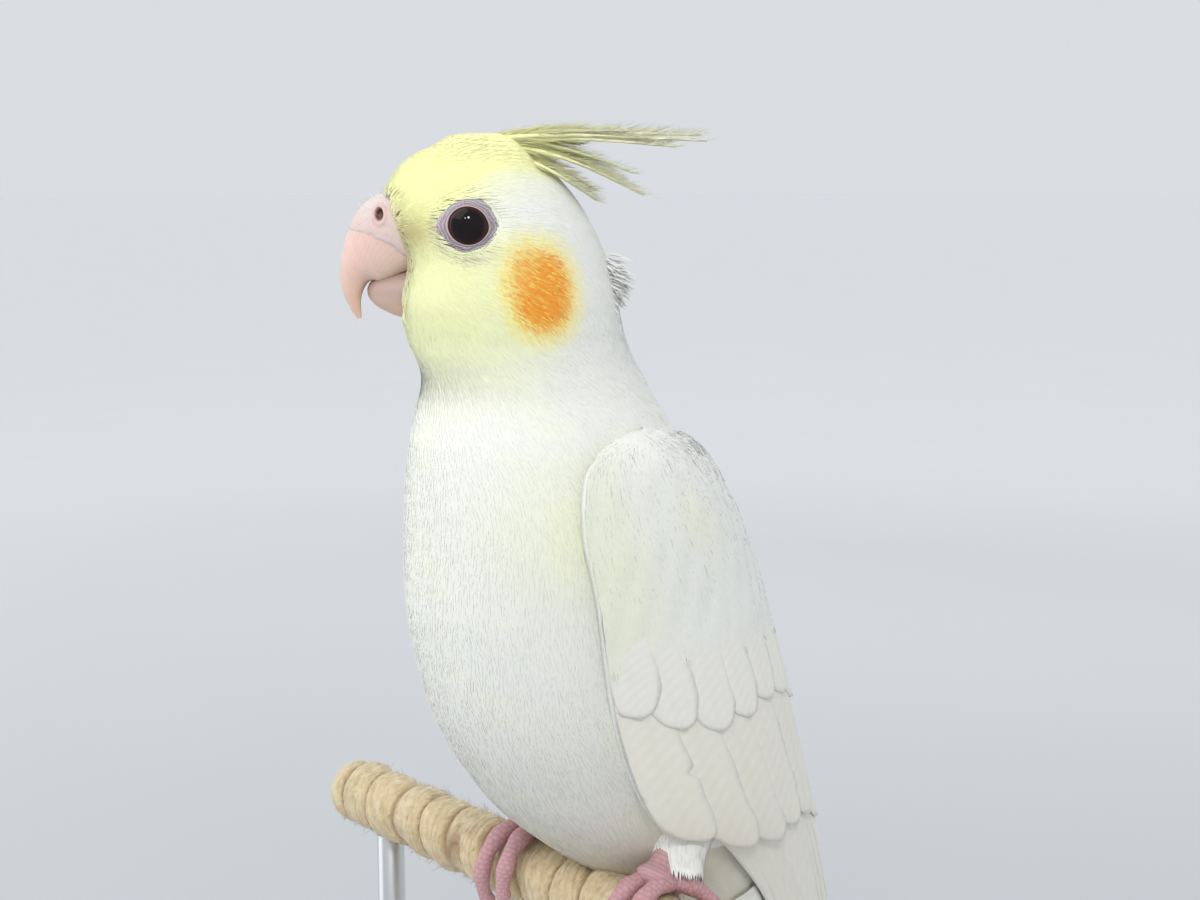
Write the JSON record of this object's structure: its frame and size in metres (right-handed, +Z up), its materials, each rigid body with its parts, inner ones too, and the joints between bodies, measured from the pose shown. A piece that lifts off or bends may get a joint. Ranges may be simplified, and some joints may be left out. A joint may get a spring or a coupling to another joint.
{
  "type": "cockatiel",
  "caption": "Life-size still cockatiel, pale with a yellow crest, head turned to its right, gripping a short cord-wrapped perch held by rods on a flat display stand",
  "frame": {"origin": "centre of the display base's underside", "axes": "+Z up, the bird's chest faces -Y, its left side is +X, the perch runs along X"},
  "size_m": [0.15, 0.1374, 0.3022],
  "materials": {
    "plumage": "soft white feathers",
    "face_plumage": "soft pale yellow feathers",
    "crest_plumage": "soft yellow feathers",
    "bill": "smooth horn, faint sheen",
    "eye": "wet gloss",
    "foot_skin": "fine scales, matt",
    "claw": "smooth horn",
    "cord": "soft wound cord",
    "rod_steel": "brushed",
    "base_wood": "smooth pale paint"
  },
  "bodies": {
    "root": {"neck": "plumage", "torso": "plumage", "wing_left": "plumage", "wing_right": "plumage", "tail": "plumage", "thigh_left": "plumage", "thigh_right": "plumage", "head": "face_plumage", "crest": "crest_plumage", "upper_bill": "bill", "lower_bill": "bill", "cere": "bill", "eye_left": "eye", "eye_right": "eye", "foot_left": "foot_skin", "foot_right": "foot_skin", "claw_left_front_outer": "claw", "claw_left_front_inner": "claw", "claw_left_back_outer": "claw", "claw_left_back_inner": "claw", "claw_right_front_outer": "claw", "claw_right_front_inner": "claw", "claw_right_back_outer": "claw", "claw_right_back_inner": "claw", "perch_core": "rod_steel", "perch_wrap": "cord", "stand_base": "base_wood", "stand_rod_left": "rod_steel", "stand_rod_right": "rod_steel"}
  },
  "joints": []
}
